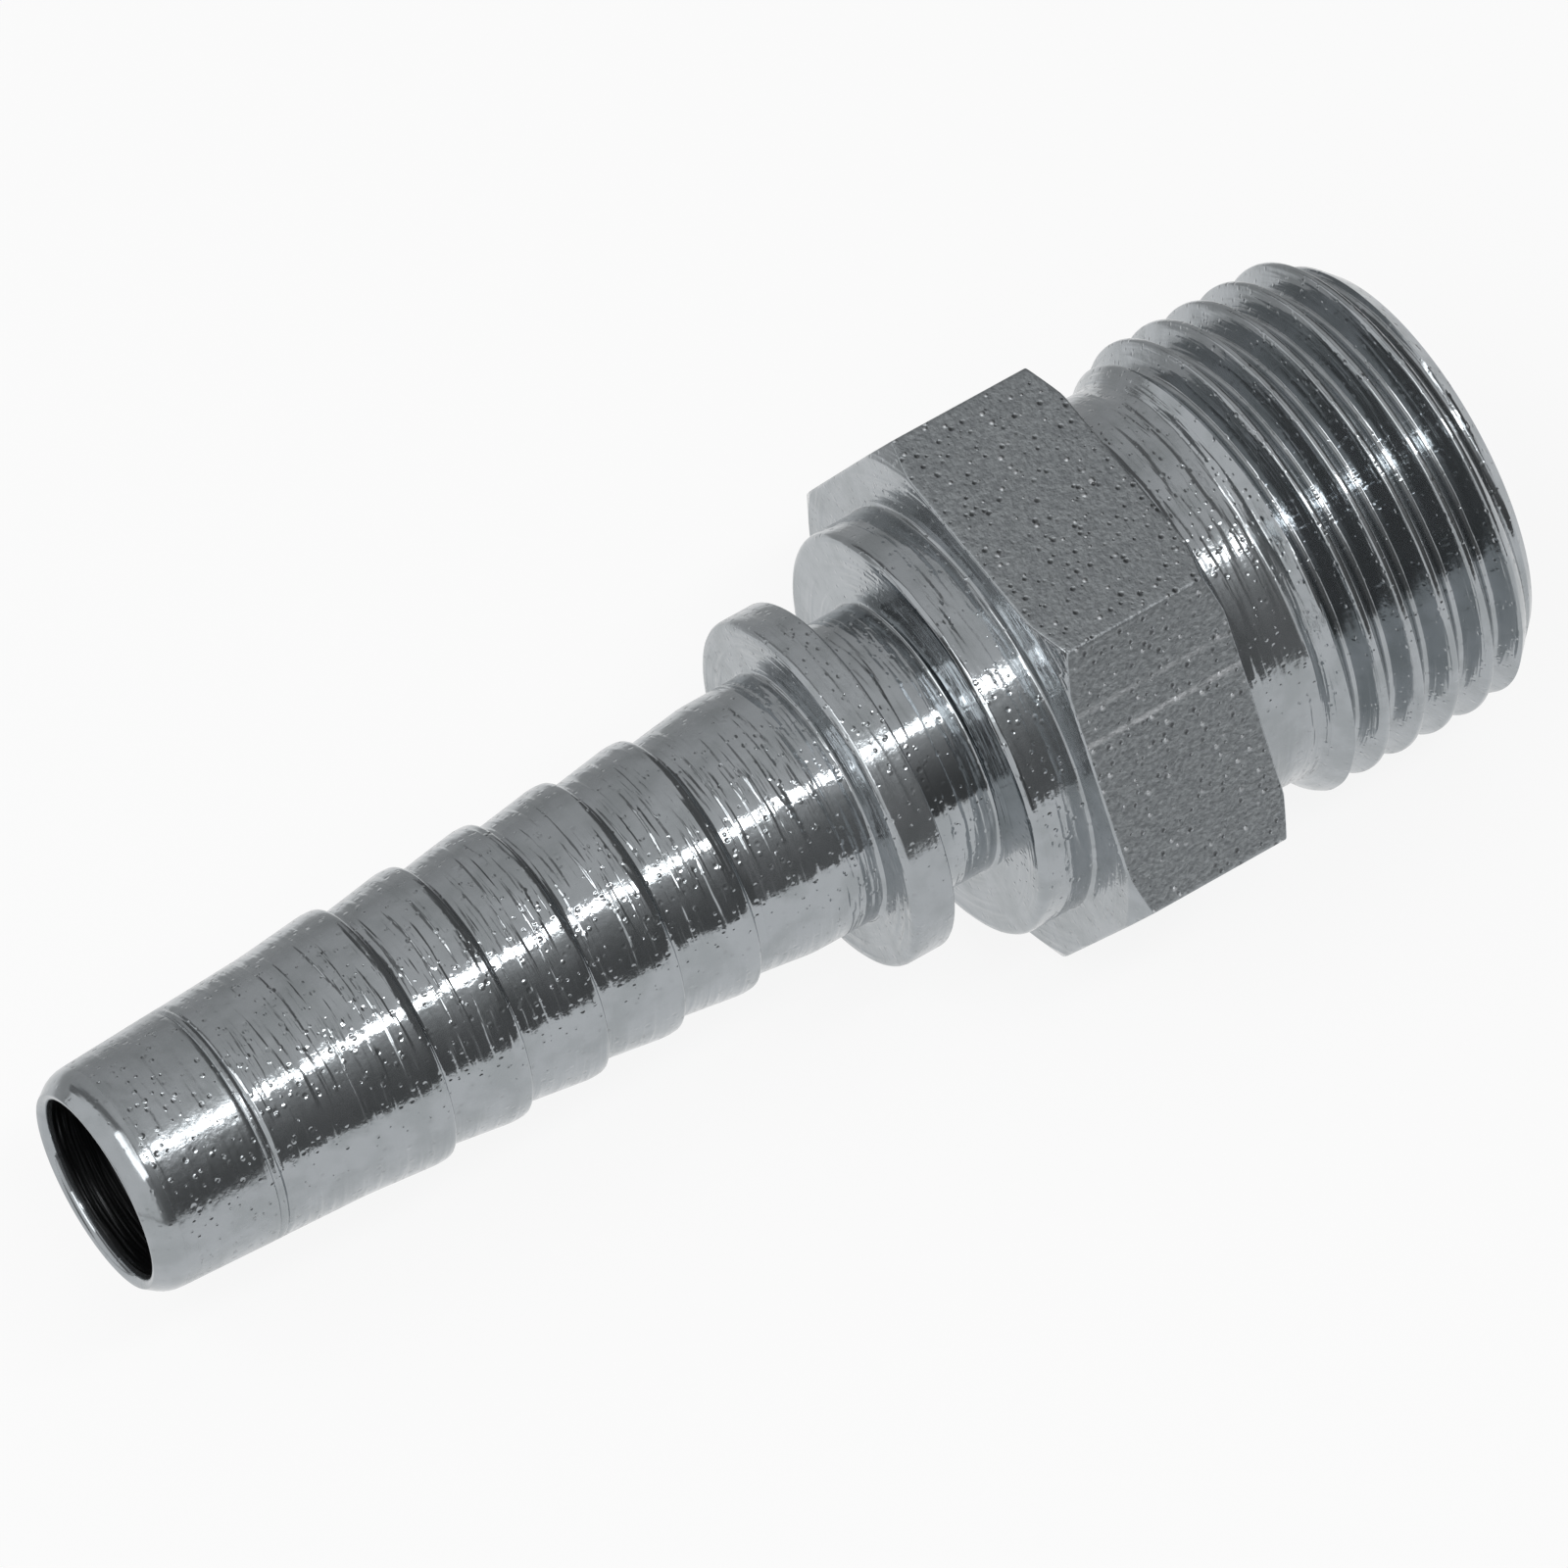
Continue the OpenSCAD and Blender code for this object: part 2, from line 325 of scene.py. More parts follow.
# Where a groove's middle lies at angle 0, and the rows over half a groove: root, flank, crest
THREAD_PHASE_X = 45.22
GROOVE_AT = THREAD_PHASE_X + PITCH / 4
ROOT_HALF = 0.125
FLANK_HALF_ANGLE = 30.0
FLANK = THREAD_DEPTH * tan(radians(FLANK_HALF_ANGLE))
CREST_AT = ROOT_HALF + FLANK
ROOT_ROUNDING = 0.03
CREST_ROUNDING = 0.04
FLANK_ROWS = (0.25, 0.39, 0.53)
CORNER_BLEND = 0.08
BLANK_BLEND = 0.05
half_pattern = np.array([
    0.0, ROOT_HALF - ROOT_ROUNDING, ROOT_HALF + ROOT_ROUNDING, *FLANK_ROWS,
    CREST_AT - CREST_ROUNDING, CREST_AT, CREST_AT + CREST_ROUNDING,
])
pattern = np.unique(np.concatenate([-half_pattern, half_pattern]).round(6)) + GROOVE_AT
first_turn = int(np.floor((HELIX_FROM - PITCH - pattern[0]) / PITCH))
last_turn = int(np.ceil((HELIX_TO - pattern[0]) / PITCH))
starts = (pattern + PITCH * np.arange(first_turn, last_turn + 1)[:, None]).ravel()
first = np.searchsorted(starts, HELIX_FROM - PITCH, "right") - 1
last = np.searchsorted(starts, HELIX_TO)
starts = starts[first:last + 1]


def thread_rows():
    """Rows that climb one pitch in a turn, held between the rings where the thread begins and ends.

    The depth at a point follows its distance from the middle of the groove: flat root, sloping flank, flat
    crest, with both flanks together at 60 degrees."""
    lead = PITCH * angles / 360
    x = np.clip(starts[:, None] + lead, HELIX_FROM, HELIX_TO)
    from_groove = np.abs((x - lead - GROOVE_AT + PITCH / 2) % PITCH - PITCH / 2)
    height = (from_groove - ROOT_HALF) / FLANK * THREAD_DEPTH
    height = smooth_least(height, THREAD_DEPTH, CORNER_BLEND)
    height = -smooth_least(-height, 0.0, CORNER_BLEND)
    r = THREAD_D / 2 - THREAD_DEPTH + height
    return np.stack([x, smooth_least(r, thread_envelope(x), BLANK_BLEND)], 1)


helix = thread_rows()
mouth_and_bore = [
    (HELIX_TO, helix_to_d, 0), (TOTAL_LEN, END_D, END_EDGE_R), (TOTAL_LEN, CONE_D, CONE_EDGE_R),
    (CONE_X, SOCKET_D, SOCKET_EDGE_R), (STOP_X, SOCKET_D, SOCKET_EDGE_R), (STOP_X, BORE_D, STOP_EDGE_R),
    (0, BORE_D, BORE_EDGE_R), (0, tip_ring_d, 0),
]
inner_rows = turned_rows(mouth_and_bore)[1:-1]

# What made each face, as its material's place in the piece's list, and how near to the drawn flats and the
# bored wall a face has to lie
TURNED, DRAWN, BORED = range(3)
ON_FLAT_WITHIN = 0.02
ON_BORE_WITHIN = 0.05
# How far into the bore the turned zinc goes before the bore's darker colour, painted shade, begins
BORE_SHADE_FROM = 0.4


def body_mesh():
    """The closed skin: from the tip over the outside to the thread's end, and back through mouth and bore.

    Both directions of the grid close on themselves. Where the helix goes through a whole turn, each of its
    rows meets the row one pitch further on, so the last column joins the first one that many rows ahead."""
    grid = np.concatenate([outer_rows[:-1], helix, inner_rows])
    rows = len(grid)
    x, r = grid[:, 0], grid[:, 1]
    around = np.radians(angles)
    points = np.stack([x * MM + TIP_X, r * np.cos(around) * MM, r * np.sin(around) * MM + AXIS_Z], -1)
    helix_from = len(outer_rows) - 1
    helix_to = helix_from + len(helix) - 1
    row = np.arange(rows)
    ahead = np.where((row >= helix_from) & (row <= helix_to), np.minimum(row + len(pattern), helix_to), row)
    i, j = np.meshgrid(row, np.arange(columns), indexing="ij")
    below = (i + 1) % rows
    beside = (j + 1) % columns
    seam = beside == 0
    corners_of = [i * columns + j, below * columns + j,
                  np.where(seam, ahead[below], below) * columns + beside,
                  np.where(seam, ahead[i], i) * columns + beside]
    quads = np.stack(corners_of, -1).reshape(-1, 4)
    step = np.linalg.norm(np.diff(grid.mean(2), axis=0, append=grid.mean(2)[:1]), axis=1)
    along = np.concatenate([[0], np.cumsum(step)])
    turn = angles / 360
    turn_beside = np.append(turn[1:], 1.0)
    u = np.stack([along[i], along[i + 1], along[i + 1], along[i]], -1).reshape(-1)
    v = np.stack([turn[j], turn[j], turn_beside[j], turn_beside[j]], -1).reshape(-1)
    middle_x = points[..., 0].reshape(-1)[quads].mean(1) / MM - TIP_X / MM
    middle_r = r.reshape(-1)[quads].mean(1)
    flat_r = np.broadcast_to(hexagon / 2, (rows, columns)).reshape(-1)[quads].mean(1)
    on_flat = (np.abs(middle_r - flat_r) < ON_FLAT_WITHIN) & (middle_x > HEX_X) & (middle_x < RELIEF_X)
    in_bore = (np.abs(middle_r - BORE_D / 2) < ON_BORE_WITHIN) & (middle_x > BORE_SHADE_FROM)
    made_by = np.where(on_flat, DRAWN, np.where(in_bore, BORED, TURNED))
    mesh = bpy.data.meshes.new("fitting")
    mesh.from_pydata(points.reshape(-1, 3), [], quads)
    mesh.polygons.foreach_set("material_index", made_by.astype(np.int32))
    turning = mesh.uv_layers.new(name="turning")
    turning.data.foreach_set("uv", np.stack([u, v], -1).ravel().astype(np.float32))
    return mesh


SAME_POINT = 0.0005 * MM
SHARP_FROM = radians(50)


def close_up(mesh):
    """Points that lie on each other become one, so faces without area go, and the normals point out."""
    work = bmesh.new()
    work.from_mesh(mesh)
    bmesh.ops.remove_doubles(work, verts=work.verts, dist=SAME_POINT)
    bmesh.ops.recalc_face_normals(work, faces=work.faces)
    if work.calc_volume(signed=True) < 0:
        bmesh.ops.reverse_faces(work, faces=work.faces)
    work.to_mesh(mesh)
    work.free()
    mesh.polygons.foreach_set("use_smooth", np.ones(len(mesh.polygons), bool))
    mesh.set_sharp_from_angle(angle=SHARP_FROM)
    return mesh


fitting = bpy.data.objects.new("fitting_visual", close_up(body_mesh()))
bpy.context.scene.collection.objects.link(fitting)


def add_node(tree, kind, inputs=None, **settings):
    """A new node of that kind with its settings, and with its inputs given as values or linked to sockets."""
    node = tree.nodes.new(kind)
    for name, value in settings.items():
        setattr(node, name, value)
    for name, value in (inputs or {}).items():
        if isinstance(value, bpy.types.NodeSocket):
            tree.links.new(value, node.inputs[name])
        else:
            node.inputs[name].default_value = value
    return node


def maths(tree, operation, *values):
    """One step of arithmetic on numbers or sockets."""
    return add_node(tree, "ShaderNodeMath", dict(enumerate(values)), operation=operation).outputs[0]


def map_range(tree, value, low, high, to_low=0.0, to_high=1.0):
    """The value's place between low and high, eased at both ends, carried over to to_low..to_high."""
    inputs = {"Value": value, "From Min": low, "From Max": high, "To Min": to_low, "To Max": to_high}
    return add_node(tree, "ShaderNodeMapRange", inputs, interpolation_type="SMOOTHSTEP").outputs["Result"]


def new_group(name, inputs, outputs):
    """A shader node group with number inputs and outputs: the group, what it is given, what it puts out."""
    group = bpy.data.node_groups.new(name, "ShaderNodeTree")
    for socket, value in inputs.items():
        given = group.interface.new_socket(socket, in_out="INPUT", socket_type="NodeSocketFloat")
        given.default_value = value
    for socket in outputs:
        group.interface.new_socket(socket, in_out="OUTPUT", socket_type="NodeSocketFloat")
    return group, group.nodes.new("NodeGroupInput").outputs, group.nodes.new("NodeGroupOutput").inputs


def from_axis(tree):
    """The point on the surface in millimetres, with the fitting's axis as its first axis."""
    place = add_node(tree, "ShaderNodeTexCoord").outputs["Object"]
    moved = add_node(tree, "ShaderNodeVectorMath", {0: place, 1: (TIP_X, 0, AXIS_Z)}, operation="SUBTRACT")
    to_mm = {0: moved.outputs[0], "Scale": 1 / MM}
    return add_node(tree, "ShaderNodeVectorMath", to_mm, operation="SCALE").outputs[0]


def turning_marks():
    """Rings that the tool cut, as a height from 0 to 1: noise that is drawn out round the axis.

    It is read along x + radius, so that the rings run over cones and end faces as well as cylinders."""
    inputs = {"Rings per mm": 4.0, "Run in mm": 3.0, "Seed": 0.0}
    group, given, out = new_group("turning_marks", inputs, ["Height"])
    point = from_axis(group)
    parts = add_node(group, "ShaderNodeSeparateXYZ", {0: point}).outputs
    crosswise = {0: point, 1: (0, 1, 1)}
    off_axis = add_node(group, "ShaderNodeVectorMath", crosswise, operation="MULTIPLY").outputs[0]
    radius = add_node(group, "ShaderNodeVectorMath", {0: off_axis}, operation="LENGTH").outputs["Value"]
    across = maths(group, "MULTIPLY", maths(group, "ADD", parts["X"], radius), given["Rings per mm"])
    y = maths(group, "DIVIDE", parts["Y"], given["Run in mm"])
    z = maths(group, "DIVIDE", parts["Z"], given["Run in mm"])
    at = add_node(group, "ShaderNodeCombineXYZ", {0: across, 1: y, 2: z}).outputs[0]
    inputs = {"Vector": at, "W": given["Seed"], "Scale": 1.0, "Detail": 1.5, "Roughness": 0.5}
    noise = add_node(group, "ShaderNodeTexNoise", inputs, noise_dimensions="4D")
    group.links.new(noise.outputs["Fac"], out["Height"])
    return group


LAYERS_ASKEW = (radians(25), radians(40), radians(15))
# A pit's radius is LEAST_PIT to LEAST_PIT + PIT_RANGE times the given one, and it is deepest within its core
LEAST_PIT = 0.4
PIT_RANGE = 0.8
PIT_CORE = 0.2


def pits():
    """Small round pits of differing size, as a mask from 0 beside them to 1 in the middle.

    They lie round points that are strewn in space, and each point has a colour of its own that sets its size.
    The points' layers are turned askew, so that none lies along the surface and shows as a row."""
    inputs = {"Spacing in mm": 0.5, "Radius in mm": 0.07, "Seed": 0.0}
    group, given, out = new_group("pits", inputs, ["Pit"])
    scale = maths(group, "DIVIDE", 1.0, given["Spacing in mm"])
    moved = add_node(group, "ShaderNodeVectorMath", {0: from_axis(group), 1: given["Seed"]}).outputs[0]
    askew = {"Vector": moved, "Rotation": LAYERS_ASKEW}
    place = add_node(group, "ShaderNodeVectorRotate", askew, rotation_type="EULER_XYZ").outputs[0]
    nearest = add_node(group, "ShaderNodeTexVoronoi", {"Vector": place, "Scale": scale}).outputs
    away = maths(group, "MULTIPLY", nearest["Distance"], given["Spacing in mm"])
    chance = add_node(group, "ShaderNodeSeparateColor", {0: nearest["Color"]}).outputs["Red"]
    size = maths(group, "MULTIPLY_ADD", chance, PIT_RANGE, LEAST_PIT)
    radius = maths(group, "MULTIPLY", given["Radius in mm"], size)
    away = maths(group, "DIVIDE", away, radius)
    group.links.new(map_range(group, away, 1.0, PIT_CORE), out["Pit"])
    return group


MARKS = turning_marks()
PITS = pits()


def new_metal(name):
    """A metal's material, its tree, its shader's inputs, and the point on it in millimetres from the axis."""
    material = bpy.data.materials.new(name)
    material.use_nodes = True
    tree = material.node_tree
    shader = tree.nodes["Principled BSDF"]
    shader.inputs["Metallic"].default_value = 1.0
    point = from_axis(tree)
    return material, tree, shader.inputs, point


def noise_at(tree, point, size_mm, detail=2.0):
    """Plain noise from 0 to 1 whose patches are about that large."""
    inputs = {"Vector": point, "Scale": 1 / size_mm, "Detail": detail}
    return add_node(tree, "ShaderNodeTexNoise", inputs).outputs["Fac"]


def place_group(tree, group, **values):
    """The outputs of a group that is placed in the tree with its inputs set by name."""
    node = add_node(tree, "ShaderNodeGroup", node_tree=group)
    for name, value in values.items():
        node.inputs[name.replace("_", " ")].default_value = value
    return node.outputs


# A Mix node's sockets for colours have the same names as those for numbers, so they go by their places
COLOUR_A = 6
COLOUR_B = 7
MIXED_COLOUR = 2


def blend_colour(tree, share, below, above):
    """The second colour laid over the first by that share."""
    mix = add_node(tree, "ShaderNodeMix", {"Factor": share}, data_type="RGBA")
    for socket, colour in ((mix.inputs[COLOUR_A], below), (mix.inputs[COLOUR_B], above)):
        if isinstance(colour, bpy.types.NodeSocket):
            tree.links.new(colour, socket)
        else:
            socket.default_value = colour
    return mix.outputs[MIXED_COLOUR]


def bump_in_mm(tree, height):
    """The normal over a height in millimetres."""
    return add_node(tree, "ShaderNodeBump", {"Height": height, "Strength": 1.0, "Distance": MM}).outputs[0]


# How each turned length came out, from its start on the axis: roughness, how strong its rings are, how
# strong its mottling and pits are, and the share of haze that isn't metallic
FINISHES = (
    (0.0, 0.12, 0.1, 0.1, 0.10),
    (1.0, 0.24, 0.4, 0.6, 0.02),
    (4.8, 0.12, 0.75, 0.4, 0.08),
    (8.7, 0.11, 0.75, 0.35, 0.06),
    (25.0, 0.12, 0.8, 0.4, 0.12),
    (29.7, 0.16, 0.5, 0.4, 0.18),
    (31.5, 0.10, 0.45, 0.2, 0.0),
    (34.5, 0.12, 0.4, 0.35, 0.12),
    (36.7, 0.16, 0.3, 0.35, 0.04),
    (43.3, 0.13, 0.7, 0.35, 0.18),
    (46.4, 0.13, 0.3, 0.3, 0.04),
)
RINGS_DRAW_OUT = 0.5
RING_HEIGHT = 0.10
FAINT_RING_HEIGHT = 0.25 * RING_HEIGHT
MOTTLE_HEIGHT = 0.03
MOTTLE_SIZE = 0.32
PIT_DEPTH = 0.045
# How far the colour in the pits goes towards the painted shade colour
PIT_SHADE_SHARE = 0.14
BLOTCH_SIZE = 1.3
BLOTCH_ROUGHNESS = 0.05
# Between which levels of noise the rings grow from faint to full, and the zinc goes from bright to dull
FULL_RINGS = (0.40, 0.62)
DULL_BLOTCH = (0.38, 0.66)
BRIGHT_ZINC = (0.40, 0.425, 0.445, 1)
DULL_ZINC = (0.35, 0.375, 0.39, 1)
# The colour of the painted shade that darkens pits and holes
PAINTED_PIT_SHADE = (0.10, 0.105, 0.11, 1)


def turned_zinc():
    """Bright zinc over turned steel: its rings draw a reflection out along the axis and break it up."""
    material, tree, sockets, point = new_metal("turned_zinc")
    sockets["Anisotropic"].default_value = RINGS_DRAW_OUT
    tangent = add_node(tree, "ShaderNodeTangent", direction_type="UV_MAP", uv_map="turning").outputs[0]
    tree.links.new(tangent, sockets["Tangent"])
    along = add_node(tree, "ShaderNodeSeparateXYZ", {0: point}).outputs["X"]
    finish = add_node(tree, "ShaderNodeValToRGB", {"Fac": maths(tree, "DIVIDE", along, TOTAL_LEN)})
    finish.color_ramp.interpolation = "CONSTANT"
    stops = finish.color_ramp.elements
    for start, *_ in FINISHES[1:-1]:
        stops.new(start / TOTAL_LEN)
    stops[len(stops) - 1].position = FINISHES[-1][0] / TOTAL_LEN
    for stop, (_, *levels) in zip(stops, FINISHES):
        stop.color = levels
    share = add_node(tree, "ShaderNodeSeparateColor", {0: finish.outputs["Color"]}).outputs
    tree.links.new(maths(tree, "SUBTRACT", 1.0, finish.outputs["Alpha"]), sockets["Metallic"])
    fine_rings = place_group(tree, MARKS, Rings_per_mm=3.8, Run_in_mm=2.4)["Height"]
    wide_rings = place_group(tree, MARKS, Rings_per_mm=1.9, Run_in_mm=5.0, Seed=3.0)["Height"]
    ring_height = map_range(tree, wide_rings, *FULL_RINGS, FAINT_RING_HEIGHT, RING_HEIGHT)
    rings = maths(tree, "MULTIPLY", maths(tree, "MULTIPLY", fine_rings, ring_height), share["Green"])
    mottle = noise_at(tree, point, MOTTLE_SIZE, detail=3.0)
    spots = place_group(tree, PITS, Spacing_in_mm=0.40, Radius_in_mm=0.12)["Pit"]
    specks = place_group(tree, PITS, Spacing_in_mm=0.42, Radius_in_mm=0.12, Seed=5.0)["Pit"]
    surface = maths(tree, "MULTIPLY", maths(tree, "SUBTRACT", specks, spots), PIT_DEPTH)
    surface = maths(tree, "MULTIPLY_ADD", mottle, MOTTLE_HEIGHT, surface)
    height = maths(tree, "MULTIPLY_ADD", surface, share["Blue"], rings)
    tree.links.new(bump_in_mm(tree, height), sockets["Normal"])
    blotch = noise_at(tree, point, BLOTCH_SIZE, detail=3.0)
    dull = map_range(tree, blotch, *DULL_BLOTCH)
    roughness = maths(tree, "MULTIPLY_ADD", dull, BLOTCH_ROUGHNESS, share["Red"])
    tree.links.new(roughness, sockets["Roughness"])
    zinc = blend_colour(tree, dull, BRIGHT_ZINC, DULL_ZINC)
    # The pits' colour is darkened towards the painted shade colour: painted shade in them
    pit_shaded_colour = blend_colour(tree, maths(tree, "MULTIPLY", spots, PIT_SHADE_SHARE), zinc, PAINTED_PIT_SHADE)
    tree.links.new(pit_shaded_colour, sockets["Base Color"])
    return material


DRAWN_ROUGHNESS = 0.5
GRAIN_SIZE = 0.17
GRAIN_HEIGHT = 0.035
# Draw lines are noise that is stretched along the bar: this is how much its three axes are scaled
DRAW_LINE_SCALES = (0.12, 4.0, 4.0)
DRAW_LINE_HEIGHT = 0.01
FLAT_PIT_DEPTH = 0.05
# How far the holes' colour goes towards the painted shade colour
HOLE_SHADE_SHARE = 0.85
# How far the raised specks' colour goes towards a painted glint
SPECK_GLINT_SHARE = 0.6
# Patches of two zinc tones, and the levels of noise between which one passes into the other
TONE_SIZE = 0.2
DARKER_TONE = (0.35, 0.65)
FLAT_ZINC = (0.39, 0.415, 0.43, 1)
FLAT_DARK_ZINC = (0.30, 0.32, 0.335, 1)
SCRATCH_ZINC = (0.66, 0.68, 0.70, 1)
# A painted glint on the raised specks
SPECK_GLINT_ZINC = (0.85, 0.87, 0.89, 1)
# The scratched flat's own angle, and each scratch's place across it, half its width and its strength
SCRATCHED_FLAT = radians(150)
SCRATCHES = ((3.08, 0.15, 0.4), (1.79, 0.17, 0.9))
SCRATCH_CORE = 0.3
# A scratch wanders sideways, it lies on the flat within a small depth, and it is worn away in patches: their
# size, the levels of noise between which the wear ends, and the share of a scratch left there and beside it
WANDER_SIZE = 0.5
SCRATCH_WANDER = 0.12
SCRATCH_WITHIN = 0.1
WEAR_SIZE = 0.5
WEAR_ENDS = (0.3, 0.5)
SCRATCH_LEFT = (0.3, 1.0)


def drawn_zinc():
    """Zinc over the bar as it was drawn: matt, with grain, pits, fine draw lines and two longer scratches."""
    material, tree, sockets, point = new_metal("drawn_zinc")
    sockets["Roughness"].default_value = DRAWN_ROUGHNESS
    grain = maths(tree, "MULTIPLY", noise_at(tree, point, GRAIN_SIZE), GRAIN_HEIGHT)
    along_bar = {0: point, 1: DRAW_LINE_SCALES}
    stretched = add_node(tree, "ShaderNodeVectorMath", along_bar, operation="MULTIPLY").outputs[0]
    lines = maths(tree, "MULTIPLY", noise_at(tree, stretched, 1.0), DRAW_LINE_HEIGHT)
    holes = place_group(tree, PITS, Spacing_in_mm=0.40, Radius_in_mm=0.13, Seed=7.0)["Pit"]
    specks = place_group(tree, PITS, Spacing_in_mm=0.48, Radius_in_mm=0.12, Seed=3.0)["Pit"]
    height = maths(tree, "ADD", grain, lines)
    height = maths(tree, "MULTIPLY_ADD", maths(tree, "SUBTRACT", specks, holes), FLAT_PIT_DEPTH, height)
    outwards = {0: point, 1: (0, cos(SCRATCHED_FLAT), sin(SCRATCHED_FLAT))}
    sideways = {0: point, 1: (0, sin(SCRATCHED_FLAT), -cos(SCRATCHED_FLAT))}
    out = add_node(tree, "ShaderNodeVectorMath", outwards, operation="DOT_PRODUCT").outputs["Value"]
    side = add_node(tree, "ShaderNodeVectorMath", sideways, operation="DOT_PRODUCT").outputs["Value"]
    side = maths(tree, "MULTIPLY_ADD", noise_at(tree, stretched, WANDER_SIZE), SCRATCH_WANDER, side)
    marks = []
    for place, half_w, strength in SCRATCHES:
        away = maths(tree, "ABSOLUTE", maths(tree, "SUBTRACT", side, place))
        marks.append(map_range(tree, away, half_w, half_w * SCRATCH_CORE, 0.0, strength))
    on_this_flat = maths(tree, "GREATER_THAN", out, HEX_AF / 2 - SCRATCH_WITHIN)
    scratched = maths(tree, "MULTIPLY", maths(tree, "MAXIMUM", *marks), on_this_flat)
    left = map_range(tree, noise_at(tree, point, WEAR_SIZE), *WEAR_ENDS, *SCRATCH_LEFT)
    scratched = maths(tree, "MULTIPLY", scratched, left)
    darker = map_range(tree, noise_at(tree, point, TONE_SIZE), *DARKER_TONE)
    tone = blend_colour(tree, darker, FLAT_ZINC, FLAT_DARK_ZINC)
    tone = blend_colour(tree, scratched, tone, SCRATCH_ZINC)
    # Painted glints on the raised specks
    tone = blend_colour(tree, maths(tree, "MULTIPLY", specks, SPECK_GLINT_SHARE), tone, SPECK_GLINT_ZINC)
    # Painted shade in the holes
    pit_shaded_colour = blend_colour(tree, maths(tree, "MULTIPLY", holes, HOLE_SHADE_SHARE), tone, PAINTED_PIT_SHADE)
    tree.links.new(pit_shaded_colour, sockets["Base Color"])
    tree.links.new(bump_in_mm(tree, height), sockets["Normal"])
    return material


# The bore's colour is darkened: painted shade inside the bore
BORE_SHADED_ZINC = (0.12, 0.123, 0.127, 1)
BORE_ROUGHNESS = 0.3
BORE_RING_HEIGHT = 0.05


def bored_zinc():
    """The drilled bore: its colour darkened as painted shade inside it, rougher, with the drill's rings."""
    material, tree, sockets, point = new_metal("bored_zinc")
    sockets["Roughness"].default_value = BORE_ROUGHNESS
    sockets["Base Color"].default_value = BORE_SHADED_ZINC
    rings = place_group(tree, MARKS, Rings_per_mm=5.0, Run_in_mm=3.0, Seed=7.0)["Height"]
    tree.links.new(bump_in_mm(tree, maths(tree, "MULTIPLY", rings, BORE_RING_HEIGHT)), sockets["Normal"])
    return material


for finish in (turned_zinc(), drawn_zinc(), bored_zinc()):
    fitting.data.materials.append(finish)
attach(fitting, "root")
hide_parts("fitting_body")

# The floor is a plain white sheet, wide enough to fill the picture from any side. What the camera and the
# metal see of it is white by itself, and the rest is lit, so that it keeps the fitting's shadow.
FLOOR_HALF = 6.0
FLOOR_GAP = 0.01 * MM
FLOOR_WHITE = (0.9, 0.9, 0.9, 1)
OWN_SHARE = 0.88
# How white the metal sees the sheet at each depth in mm, from the front to the back: it darkens a thumb's
# breadth behind the fitting
SEEN_BY_METAL = ((-600, 0.05), (-290, 0.1), (-250, 0.94), (28, 0.94), (42, 0.42), (600, 0.40))

floor_mesh = bpy.data.meshes.new("floor")
floor_corners = np.array([(-1, -1, 0), (1, -1, 0), (1, 1, 0), (-1, 1, 0)]) * FLOOR_HALF
floor_corners[:, 2] -= FLOOR_GAP
floor_mesh.from_pydata(floor_corners, [], [(0, 1, 2, 3)])
floor = bpy.data.objects.new("floor", floor_mesh)
bpy.context.scene.collection.objects.link(floor)


def grey_ramp(tree, value, levels, low, high):
    """Grey levels by the value, which runs from low to high."""
    inputs = {"Value": value, "From Min": low, "From Max": high}
    share = add_node(tree, "ShaderNodeMapRange", inputs).outputs["Result"]
    node = add_node(tree, "ShaderNodeValToRGB", {"Fac": share})
    stops = node.color_ramp.elements
    for place, _ in levels[1:-1]:
        stops.new((place - low) / (high - low))
    for stop, (_, level) in zip(stops, levels):
        stop.color = (level, level, level, 1)
    return node.outputs["Color"]


SHEET_WHITE = (1, 1, 1, 1)
floor_look = bpy.data.materials.new("white_sheet")
floor_look.use_nodes = True
tree = floor_look.node_tree
tree.nodes.remove(tree.nodes["Principled BSDF"])
lit = add_node(tree, "ShaderNodeBsdfDiffuse", {"Color": FLOOR_WHITE})
path = add_node(tree, "ShaderNodeLightPath").outputs
by_metal = maths(tree, "MAXIMUM", path["Is Glossy Ray"], path["Is Transmission Ray"])
seen = maths(tree, "MAXIMUM", path["Is Camera Ray"], by_metal)
floor_place = add_node(tree, "ShaderNodeTexCoord").outputs["Object"]
depth = maths(tree, "DIVIDE", add_node(tree, "ShaderNodeSeparateXYZ", {0: floor_place}).outputs["Y"], MM)
reflected = grey_ramp(tree, depth, SEEN_BY_METAL, SEEN_BY_METAL[0][0], SEEN_BY_METAL[-1][0])
own_colour = blend_colour(tree, by_metal, SHEET_WHITE, reflected)
own = add_node(tree, "ShaderNodeEmission", {"Color": own_colour, "Strength": 1.0})
share = maths(tree, "MULTIPLY", seen, OWN_SHARE)
mixed = add_node(tree, "ShaderNodeMixShader", {"Fac": share, 1: lit.outputs[0], 2: own.outputs[0]})
tree.links.new(mixed.outputs[0], tree.nodes["Material Output"].inputs["Surface"])
floor_mesh.materials.append(floor_look)

# The light is a soft room that is bright above and behind the fitting and dark below the camera. A long
# narrow lamp over the camera runs with the axis and draws one bright line along every turned form, and a
# fainter one stands upright off the tail and lights the edges that face it.
towards_camera = Vector((0, TOWARDS_CAMERA.y, TOWARDS_CAMERA.z)).normalized()
over_the_top = towards_camera.cross(Vector((1, 0, 0)))
LAMP_DISTANCE = 500 * MM
# Name, turn up from the camera's side and tilt towards the thread in degrees, length, width, radiance
LAMPS = (
    ("line_lamp", 6.0, 3.5, 310 * MM, 56 * MM, 9.0),
    ("tail_lamp", 14.0, -30.0, 130 * MM, 430 * MM, 2.8),
)
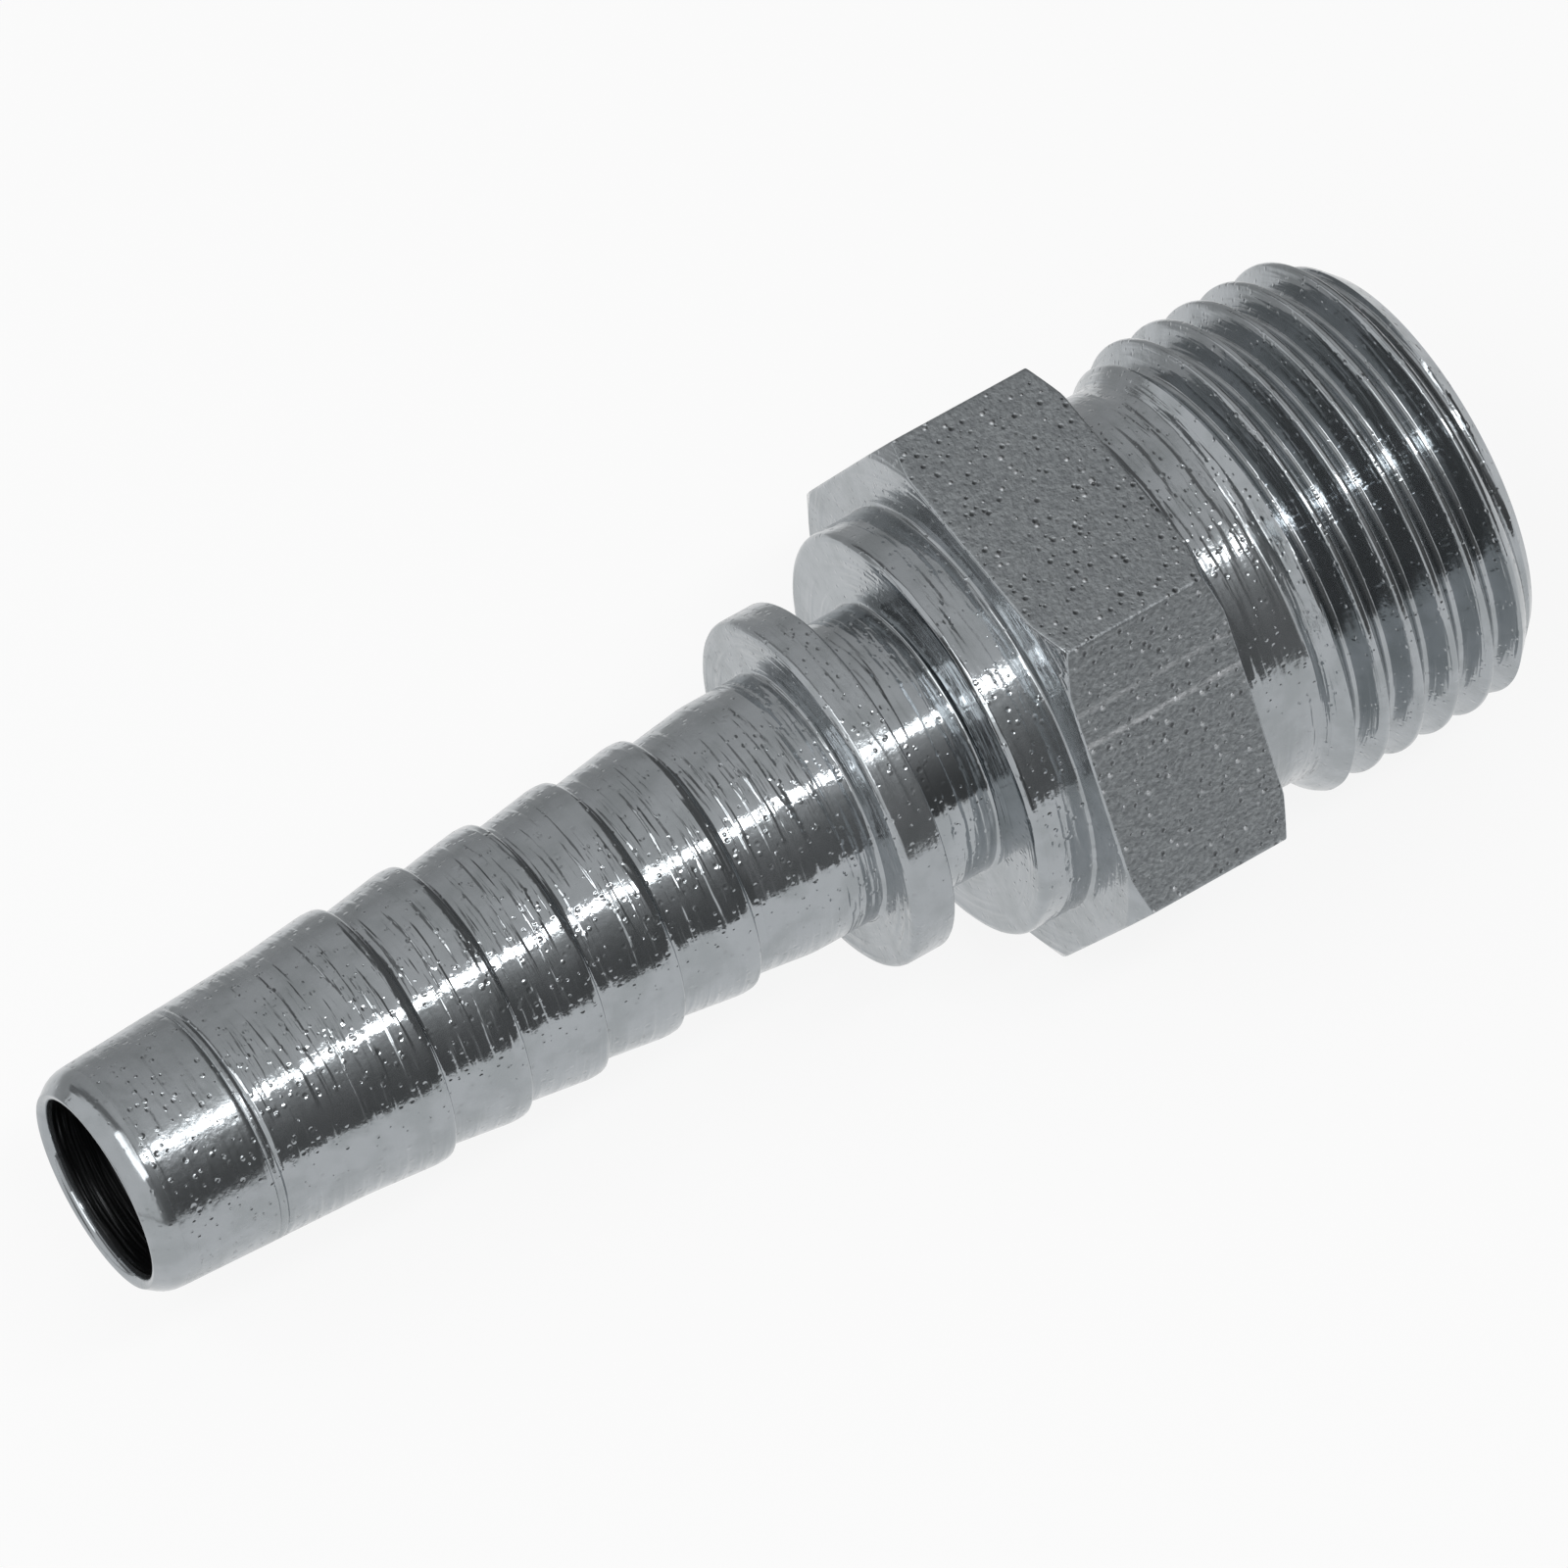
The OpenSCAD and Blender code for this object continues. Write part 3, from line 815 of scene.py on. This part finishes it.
# Grey of the room by the turn round the axis from the camera's side, in degrees up over the fitting
ROOM = (
    (-180, 0.09), (-64, 0.09), (-50, 0.09), (-42, 0.10), (-35, 0.12), (-28, 0.15), (-21, 0.21), (-14, 0.29),
    (-6, 0.42), (1, 0.60), (14, 0.68), (44, 0.68), (57, 0.62), (72, 0.55), (95, 0.53), (105, 0.46),
    (120, 0.40), (180, 0.40),
)
# Where a direction's share along the axis, the sine of its tilt, passes from the first of these numbers to
# the second, the room's grey passes to the third
ROOM_ENDS = ((-0.13, -0.22, 0.16), (-0.36, -0.46, 0.85), (-0.90, -0.95, 0.12), (0.37, 0.50, 0.10))

for name, turn, tilt, length, width, radiance in LAMPS:
    upwards = over_the_top * cos(radians(turn)) - towards_camera * sin(radians(turn))
    across = towards_camera * cos(radians(turn)) + over_the_top * sin(radians(turn))
    way = across * cos(radians(tilt)) + Vector((1, 0, 0)) * sin(radians(tilt))
    lengthways = upwards.cross(way)
    lamp_data = bpy.data.lights.new(name, "AREA")
    lamp_data.shape = "RECTANGLE"
    lamp_data.size = length
    lamp_data.size_y = width
    lamp_data.energy = radiance * pi * length * width
    lamp = bpy.data.objects.new(name, lamp_data)
    bpy.context.scene.collection.objects.link(lamp)
    turned_to_fitting = Matrix((lengthways, upwards, way)).transposed().to_4x4()
    lamp.matrix_world = Matrix.Translation(aim + way * LAMP_DISTANCE) @ turned_to_fitting

world = bpy.data.worlds.new("room")
bpy.context.scene.world = world
world.use_nodes = True
tree = world.node_tree
way = add_node(tree, "ShaderNodeTexCoord").outputs["Generated"]
to_front = {0: way, 1: towards_camera}
to_top = {0: way, 1: over_the_top}
forward = add_node(tree, "ShaderNodeVectorMath", to_front, operation="DOT_PRODUCT").outputs["Value"]
over = add_node(tree, "ShaderNodeVectorMath", to_top, operation="DOT_PRODUCT").outputs["Value"]
turn = maths(tree, "DEGREES", maths(tree, "ARCTAN2", over, forward))
room = grey_ramp(tree, turn, ROOM, ROOM[0][0], ROOM[-1][0])
along_axis = add_node(tree, "ShaderNodeSeparateXYZ", {0: way}).outputs["X"]
for none_until, all_from, level in ROOM_ENDS:
    reached = map_range(tree, along_axis, none_until, all_from)
    room = blend_colour(tree, reached, room, (level, level, level, 1))
tree.links.new(room, tree.nodes["Background"].inputs["Color"])

scene = bpy.context.scene
scene.view_settings.view_transform = "Standard"
